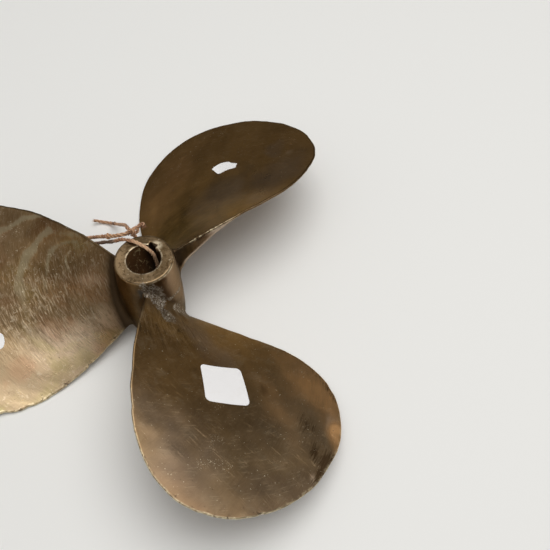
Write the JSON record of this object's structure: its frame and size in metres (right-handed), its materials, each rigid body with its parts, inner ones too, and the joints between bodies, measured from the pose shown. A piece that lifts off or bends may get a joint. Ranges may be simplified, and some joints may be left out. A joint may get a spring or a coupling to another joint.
{
  "type": "boat propeller",
  "caption": "Three-bladed left-hand bronze boat propeller with a tapered, keyed bore and a loop of twine through it.",
  "frame": {"origin": "on the shaft axis, in the plane that the three low blade edges rest on", "axes": "+Z along the shaft axis towards the small (aft) end of the hub; the first blade and the keyway point about 61 degrees from +X towards +Y"},
  "size_m": [0.2587, 0.2825, 0.0651],
  "materials": {
    "bronze": "brown patina, worn bright at the edges",
    "fibre": "twisted plant fibre, frayed"
  },
  "bodies": {
    "root": {"propeller_casting": "bronze", "twine_knot": "fibre", "twine_loop": "fibre", "twine_long_end": "fibre", "twine_short_end": "fibre"}
  },
  "joints": []
}
